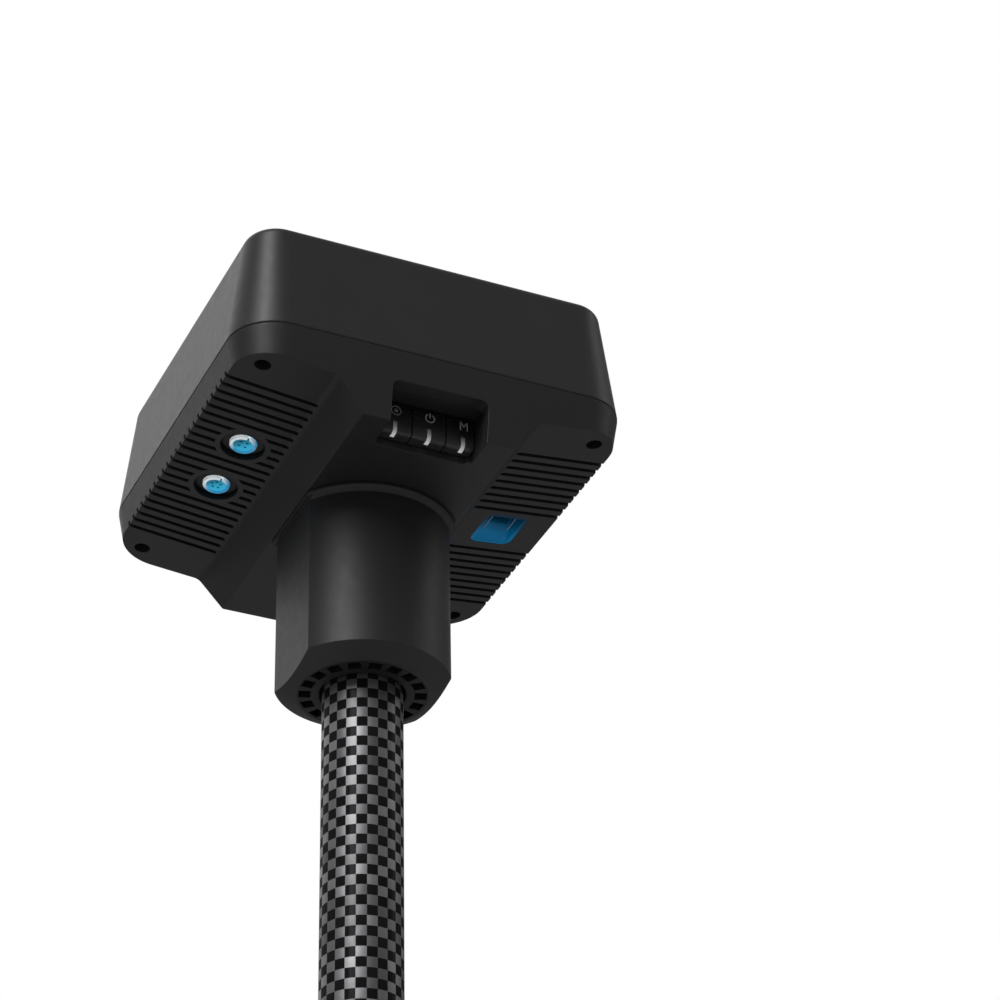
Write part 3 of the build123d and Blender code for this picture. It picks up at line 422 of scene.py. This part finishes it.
def port_moulding(name, colour):
    """Blue moulding of the card port, with painted light: bright at its near edge, fading to navy as painted
    shade where it runs down to the slot, darker still as painted shade deep in the port, and with a painted
    glow.
    """
    g = Graph(name)
    low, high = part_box("card_port_liner")
    _, y, z = g.axes()
    # Painted light and shade: bright at the near edge, navy further in.
    painted_light_ramp = g.span(y, low.y + 3 * MM, low.y + 15 * MM, 0.0, 1.0)
    cloud = g.span(g.noise(240.0, 3.0), 0.3, 0.7, -0.1, 0.1)
    body = g.mix(g.math("ADD", painted_light_ramp, cloud, clamp=True), tint(colour, 0.16), tint(colour, 1.0))
    # Painted shade deep in the port.
    painted_recess_shade = g.span(z, low.z + 2.5 * MM, low.z + 6 * MM, 0.0, 0.85)
    body = g.mix(painted_recess_shade, body, tint(colour, 0.08))
    # Painted glow: the moulding is no lamp.
    g.paint(body, 0.6)
    g.shader.inputs["Specular IOR Level"].default_value = 0.2
    g.surface(600.0, 0.34, 0.5, 1500.0, 0.012 * MM, 0.3 * MM)
    assign(g.material, "card_port_liner")


def circuit_board(name):
    g = Graph(name)
    tracks = g.node("ShaderNodeTexBrick")
    g.link(g.stretch((260.0, 260.0, 260.0)), tracks.inputs["Vector"])
    tracks.inputs["Color1"].default_value = (0.012, 0.075, 0.032, 1)
    tracks.inputs["Color2"].default_value = (0.016, 0.090, 0.040, 1)
    tracks.inputs["Mortar"].default_value = (0.045, 0.16, 0.075, 1)
    g.link(tracks.outputs["Color"], g.shader.inputs["Base Color"])
    g.link(g.span(g.noise(400.0, 2.0), 0.3, 0.7, 0.3, 0.45), g.shader.inputs["Roughness"])
    g.link(g.bump(tracks.outputs["Fac"], 0.03 * MM, 0.5), g.shader.inputs["Normal"])
    return g.material


class SURVEY_OT_casing(bpy.types.Operator):
    """Finish the cover, base, neck and pole socket in moulded charcoal plastic"""
    bl_idname = "survey.casing"
    bl_label = "Casing finish"

    def execute(self, context):
        p = context.scene.survey_casing
        assign(moulded("cover_plastic", p.cover_colour, p.roughness, p.edge_radius), "top_cover")
        base = moulded("base_plastic", p.base_colour, p.roughness + 0.03, p.edge_radius)
        assign(base, "base_casing", "neck_housing")
        inner = moulded("inner_plastic", tint(p.base_colour, 0.8), 0.55, 0.25 * MM)
        assign(inner, "battery_tray", "key_switches")
        # Painted shade: a darker copy of the base plastic on the pole socket and the key window's frame,
        # which sit where shade falls.
        shaded = moulded("painted_shade_plastic", tint(p.base_colour, 0.45), 0.6, 0.25 * MM)
        assign(shaded, "pole_socket", "key_frame")
        rubber = soft_rubber("gasket_rubber", (0.012, 0.012, 0.012))
        assign(rubber, "cover_gasket", "data_socket_seals", "seat_washer")
        return {"FINISHED"}


class SURVEY_OT_pole(bpy.types.Operator):
    """Finish the carbon tubes, the coupling, the spigot and the steel point"""
    bl_idname = "survey.pole"
    bl_label = "Pole finish"

    def execute(self, context):
        p = context.scene.survey_pole
        assign(carbon("carbon_weave", p), "upper_tube", "lower_tube")
        assign(turned_metal("bright_steel", (0.50, 0.50, 0.51), 0.30), "pole_point", "ball_stud")
        plain = turned_metal("turned_aluminium", (0.46, 0.46, 0.47), 0.36)
        assign(plain, "point_holder", "upper_spigot", "pole_top_plug")
        dark = turned_metal("black_anodised", (0.030, 0.030, 0.032), 0.42, anodised=True)
        assign(dark, "lower_socket", "lock_collar", "sleeve_bush", "bracket_rail")
        return {"FINISHED"}


class SURVEY_OT_bracket(bpy.types.Operator):
    """Finish the sleeve, rail, ball joint, arm and controller cradle"""
    bl_idname = "survey.bracket"
    bl_label = "Bracket finish"

    def execute(self, context):
        assign(moulded("coated_sleeve", (0.034, 0.034, 0.035), 0.30, 0.6 * MM, 0.006 * MM), "bracket_sleeve")
        black = moulded("bracket_plastic", (0.018, 0.018, 0.019), 0.42, 0.8 * MM)
        assign(black, "ball_housing", "arm_body", "clamp_lever", "cradle_body", "sliding_jaw")
        assign(soft_rubber("pad_rubber", (0.02, 0.02, 0.02)), "cradle_pads", "jaw_pad")
        steel = turned_metal("screw_steel", (0.42, 0.42, 0.43), 0.34)
        assign(steel, "rail_screws", "carriage_nut", "lever_pin", "guide_rods", "jaw_springs",
               "sleeve_retaining_ring", "neck_screws", "antenna_screws")
        assign(turned_metal("black_screws", (0.05, 0.05, 0.052), 0.4, anodised=True), "casing_screws")
        return {"FINISHED"}


class SURVEY_OT_ports(bpy.types.Operator):
    """Finish the two data sockets and the card port"""
    bl_idname = "survey.ports"
    bl_label = "Socket and port finish"

    def execute(self, context):
        p = context.scene.survey_ports
        # The near-white end of the ring is a painted highlight, and both parts get a painted glow.
        bright = (0.90, 0.97, 1.0)
        socket_part("socket_ring", "data_socket_shells", (bright, p.ring_colour),
                    SOCKET_FLANGE_R, SOCKET_RING_R, 0.25, 0.4)
        # The darker blue on one side of the insert is painted shade.
        painted_shade_blue = tint(p.insert_colour, 0.35)
        socket_part("socket_insert", "data_socket_inserts", (painted_shade_blue, p.insert_colour),
                    SOCKET_FLANGE_R, SOCKET_INSERT_R, 0.3, 0.7, PIN_HOLE_SHADE_DEPTH)
        port_moulding("card_moulding", p.card_colour)
        self.card_rails()
        brass = turned_metal("contact_brass", (0.30, 0.22, 0.08), 0.3)
        assign(brass, "data_socket_contacts", "antenna_feed_pin", "thread_insert")
        assign(turned_metal("nut_aluminium", (0.5, 0.5, 0.5), 0.35), "data_socket_nuts")
        can = turned_metal("pressed_can", (0.55, 0.55, 0.55), 0.28)
        assign(can, "card_socket", "shield_cans", "radio_module")
        return {"FINISHED"}

    def card_rails(self):
        """Two thin pressed rails that guide the card down into its slot."""
        low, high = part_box("card_port_liner")
        centre = (low + high) / 2
        steel = turned_metal("rail_steel", (0.42, 0.50, 0.55), 0.3)
        rails = []
        for side in (-1, 1):
            clear_selection()
            place = (centre.x + side * RAIL_SPREAD, low.y + 7.4 * MM, low.z + 2.6 * MM + side * 0.55 * MM)
            bpy.ops.mesh.primitive_cube_add(size=1, location=place)
            rail = bpy.context.active_object
            rail.scale = RAIL_SIZE
            bpy.ops.object.transform_apply(location=True, rotation=True, scale=True)
            bpy.ops.object.mode_set(mode="EDIT")
            bpy.ops.mesh.select_all(action="SELECT")
            bpy.ops.mesh.bevel(offset=0.12 * MM, segments=2, affect="EDGES")
            bpy.ops.object.mode_set(mode="OBJECT")
            rails.append(rail)
        settle(join(rails), "card_rails", "receiver", steel)


class SURVEY_OT_electronics(bpy.types.Operator):
    """Finish the boards, antenna and battery inside the head"""
    bl_idname = "survey.electronics"
    bl_label = "Electronics finish"

    def execute(self, context):
        assign(circuit_board("board_green"), "receiver_board", "antenna_ground_plane", "key_board")
        assign(moulded("antenna_ceramic", (0.55, 0.50, 0.42), 0.6), "antenna_element")
        assign(moulded("cell_sleeve", (0.03, 0.10, 0.26), 0.3), "battery_cells")
        assign(turned_metal("post_metal", (0.6, 0.6, 0.6), 0.35), "antenna_posts")
        return {"FINISHED"}


# --- Mesh work ---

def clear_selection():
    bpy.ops.object.select_all(action="DESELECT")


def settle(piece, name, body, material):
    """Put a finished piece's place into its mesh, name it and let it ride on its body."""
    clear_selection()
    bpy.context.view_layer.objects.active = piece
    piece.select_set(True)
    bpy.ops.object.transform_apply(location=True, rotation=True, scale=True)
    piece.name = name
    piece.data.name = name
    piece.data.materials.clear()
    piece.data.materials.append(material)
    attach(piece, body)
    piece.select_set(False)
    return piece


def join(pieces):
    clear_selection()
    for piece in pieces:
        piece.select_set(True)
    bpy.context.view_layer.objects.active = pieces[0]
    bpy.ops.object.join()
    return bpy.context.view_layer.objects.active


def sign_ring(centre, radius, line, gap=0.0):
    """A flat ring of ink, facing -Y, with an optional opening at its top."""
    clear_selection()
    bpy.ops.mesh.primitive_torus_add(
        location=centre, rotation=(math.radians(90), 0, 0), major_radius=radius, minor_radius=line / 2,
        major_segments=48, minor_segments=8)
    ring = bpy.context.active_object
    ring.scale = (1, 1, INK_FLATNESS)
    if gap:
        bpy.ops.object.transform_apply(location=True, rotation=True, scale=True)
        bpy.ops.object.mode_set(mode="EDIT")
        bpy.ops.mesh.select_all(action="DESELECT")
        bpy.ops.object.mode_set(mode="OBJECT")
        for vertex in ring.data.vertices:
            offset = vertex.co - Vector(centre)
            vertex.select = offset.z > 0 and abs(offset.x) < gap
        bpy.ops.object.mode_set(mode="EDIT")
        bpy.ops.mesh.delete(type="VERT")
        bpy.ops.object.mode_set(mode="OBJECT")
    return ring


def sign_bar(centre, width, height, line, lean=0.0):
    """A thin flat bar of ink, facing -Y, leaning by an angle about Y."""
    clear_selection()
    bpy.ops.mesh.primitive_cube_add(size=1, location=centre)
    bar = bpy.context.active_object
    bar.scale = (width, line * INK_FLATNESS, height)
    bar.rotation_euler = (0, lean, 0)
    bpy.ops.object.transform_apply(location=True, rotation=True, scale=True)
    return bar


class SURVEY_OT_keys(bpy.types.Operator):
    """Finish the three keys and print their signs: dot in ring, power and M"""
    bl_idname = "survey.keys"
    bl_label = "Keys and signs"

    def execute(self, context):
        p = context.scene.survey_keys
        # Painted shade: the keys run from dark grey at their lower edge to black at their tops, deep in the
        # recess.
        key = graded("key_plastic", "power_key", (0.030, 0.030, 0.031), (0.006, 0.006, 0.006), 0.24, 0.0)
        assign(key, "record_key", "power_key", "mode_key")
        # Painted shade darkens the light strips towards their tops, and their glow is painted light.
        painted_shade_strip = tint(p.strip_colour, 0.05)
        strip = graded("light_strip", "power_light_pipe", p.strip_colour, painted_shade_strip, 0.25, 0.3, bend=0.4)
        assign(strip, "record_light_pipe", "power_light_pipe", "mode_light_pipe")
        ink = moulded("sign_ink", p.symbol_colour, 0.5, 0.05 * MM)
        radius = p.symbol_height / 2
        line = p.symbol_line
        places = {}
        for name in ("record", "power", "mode"):
            pipe = middle(f"{name}_light_pipe")
            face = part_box(f"{name}_key")[0].y
            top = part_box(f"{name}_light_pipe")[1].z
            places[name] = Vector((pipe.x + SIGN_SHIFT, face - line * 0.05, top + SIGN_LIFT))
        c = places["record"]
        signs = [sign_ring(c, radius, line)]
        clear_selection()
        bpy.ops.mesh.primitive_uv_sphere_add(radius=radius * 0.42, location=c, segments=24, ring_count=12)
        dot = bpy.context.active_object
        dot.scale = (1, 0.12, 1)
        signs.append(dot)
        dim_ink = moulded("sign_ink_dim", tint(p.symbol_colour, 0.5), 0.5, 0.05 * MM)
        settle(join(signs), "record_sign", "record_button", dim_ink)
        c = places["power"]
        signs = [sign_ring(c, radius * 0.92, line, gap=radius * 0.38)]
        signs.append(sign_bar(c + Vector((0, 0, radius * 0.62)), line, radius * 1.15, line))
        settle(join(signs), "power_sign", "power_button", ink)
        c = places["mode"]
        half = radius * 0.72
        signs = [sign_bar(c + Vector((side * half, 0, 0)), line, 2 * radius, line) for side in (-1, 1)]
        lean = math.atan2(half, radius * 1.2)
        for side in (-1, 1):
            place = c + Vector((side * half / 2, 0, radius * 0.4))
            signs.append(sign_bar(place, line, radius * 1.35, line, side * lean))
        settle(join(signs), "mode_sign", "mode_button", ink)
        return {"FINISHED"}


# --- Stage ---

def area_light(name, place, aim, size, energy):
    data = bpy.data.lights.new(name, "AREA")
    data.shape = "RECTANGLE"
    data.size, data.size_y = size
    data.energy = energy
    lamp = bpy.data.objects.new(name, data)
    bpy.context.scene.collection.objects.link(lamp)
    lamp.location = place
    lamp.rotation_euler = (aim - place).to_track_quat("-Z", "Y").to_euler()


def turned_camera(azimuth, elevation, roll):
    """Camera axes (right, up, back) for a look along +Y at azimuth 0, seen from below when elevation < 0."""
    reach = math.cos(elevation)
    back = Vector((math.sin(azimuth) * reach, -math.cos(azimuth) * reach, math.sin(elevation)))
    right = Vector((0, 0, 1)).cross(back).normalized()
    up = back.cross(right)
    rolled_right = right * math.cos(roll) + up * math.sin(roll)
    rolled_up = up * math.cos(roll) - right * math.sin(roll)
    return rolled_right, rolled_up, back


class SURVEY_OT_stage(bpy.types.Operator):
    """Lay the floor, set the lights and place the camera"""
    bl_idname = "survey.stage"
    bl_label = "Floor, lights and camera"

    def execute(self, context):
        p = context.scene.survey_stage
        clear_selection()
        bpy.ops.mesh.primitive_plane_add(size=FLOOR_SIZE, location=(0, 0, CAD_BOX[0][2] - FLOOR_DROP))
        floor = bpy.context.active_object
        floor.name = "floor"
        g = Graph("pale_floor")
        cloud = g.span(g.noise(3.0, 3.0), 0.3, 0.7, 0.0, 1.0)
        g.paint(g.mix(cloud, tint(p.floor_colour, 0.985), tint(p.floor_colour, 1.0)))
        g.shader.inputs["Roughness"].default_value = 0.9
        rays = g.node("ShaderNodeLightPath")
        g.shader.inputs["Emission Color"].default_value = tint(p.floor_colour, 1.0)
        x, y, _ = g.axes()
        lift = g.span(g.length(x, y), *FLOOR_FADE, p.floor_lift, 1.15)
        g.link(g.math("MULTIPLY", rays.outputs["Is Camera Ray"], lift), g.shader.inputs["Emission Strength"])
        floor.data.materials.append(g.material)

        world = bpy.data.worlds.new("pale_studio")
        world.use_nodes = True
        background = world.node_tree.nodes["Background"]
        background.inputs["Color"].default_value = (1, 1, 1, 1)
        rays = world.node_tree.nodes.new("ShaderNodeLightPath")
        strength = world.node_tree.nodes.new("ShaderNodeMapRange")
        strength.inputs["To Min"].default_value = p.ambient
        strength.inputs["To Max"].default_value = 1.0
        world.node_tree.links.new(rays.outputs["Is Camera Ray"], strength.inputs["Value"])
        world.node_tree.links.new(strength.outputs["Result"], background.inputs["Strength"])
        context.scene.world = world
        context.scene.view_settings.view_transform = "Standard"

        for light in LIGHTS:
            area_light(*light)

        right, up, back = turned_camera(p.azimuth, p.elevation, p.roll)
        data = bpy.data.cameras.new("main_camera")
        data.lens = p.lens
        data.sensor_width = 36
        data.clip_start = 0.01
        camera = bpy.data.objects.new("main_camera", data)
        context.scene.collection.objects.link(camera)
        turn = Matrix((right, up, back)).transposed().to_4x4()
        camera.matrix_world = Matrix.Translation(AIM + back * p.distance) @ turn
        context.scene.camera = camera
        return {"FINISHED"}


class SURVEY_PT_panel(bpy.types.Panel):
    """Lists the pieces and finishes of the survey pole"""
    bl_idname = "SURVEY_PT_panel"
    bl_label = "Survey pole"
    bl_space_type = "VIEW_3D"
    bl_region_type = "UI"
    bl_category = "Survey pole"

    def draw(self, context):
        for operator in OPERATORS:
            self.layout.operator(operator.bl_idname)
        for name, _ in GROUPS:
            group = getattr(context.scene, name)
            box = self.layout.box()
            for prop in group.bl_rna.properties:
                if prop.identifier not in ("rna_type", "name"):
                    box.prop(group, prop.identifier)


GROUPS = [
    ("survey_casing", CasingProps),
    ("survey_pole", PoleProps),
    ("survey_ports", PortProps),
    ("survey_keys", KeyProps),
    ("survey_stage", StageProps),
]
OPERATORS = [
    SURVEY_OT_casing, SURVEY_OT_pole, SURVEY_OT_bracket, SURVEY_OT_ports, SURVEY_OT_electronics,
    SURVEY_OT_keys, SURVEY_OT_stage,
]


def register():
    for name, group in GROUPS:
        bpy.utils.register_class(group)
        setattr(bpy.types.Scene, name, bpy.props.PointerProperty(type=group))
    for item in OPERATORS + [SURVEY_PT_panel]:
        bpy.utils.register_class(item)


def unregister():
    for item in reversed(OPERATORS + [SURVEY_PT_panel]):
        bpy.utils.unregister_class(item)
    for name, group in reversed(GROUPS):
        delattr(bpy.types.Scene, name)
        bpy.utils.unregister_class(group)


def main():
    register()
    for operator in OPERATORS:
        group, _, name = operator.bl_idname.partition(".")
        getattr(getattr(bpy.ops, group), name)()


if __name__ == "__main__":
    main()
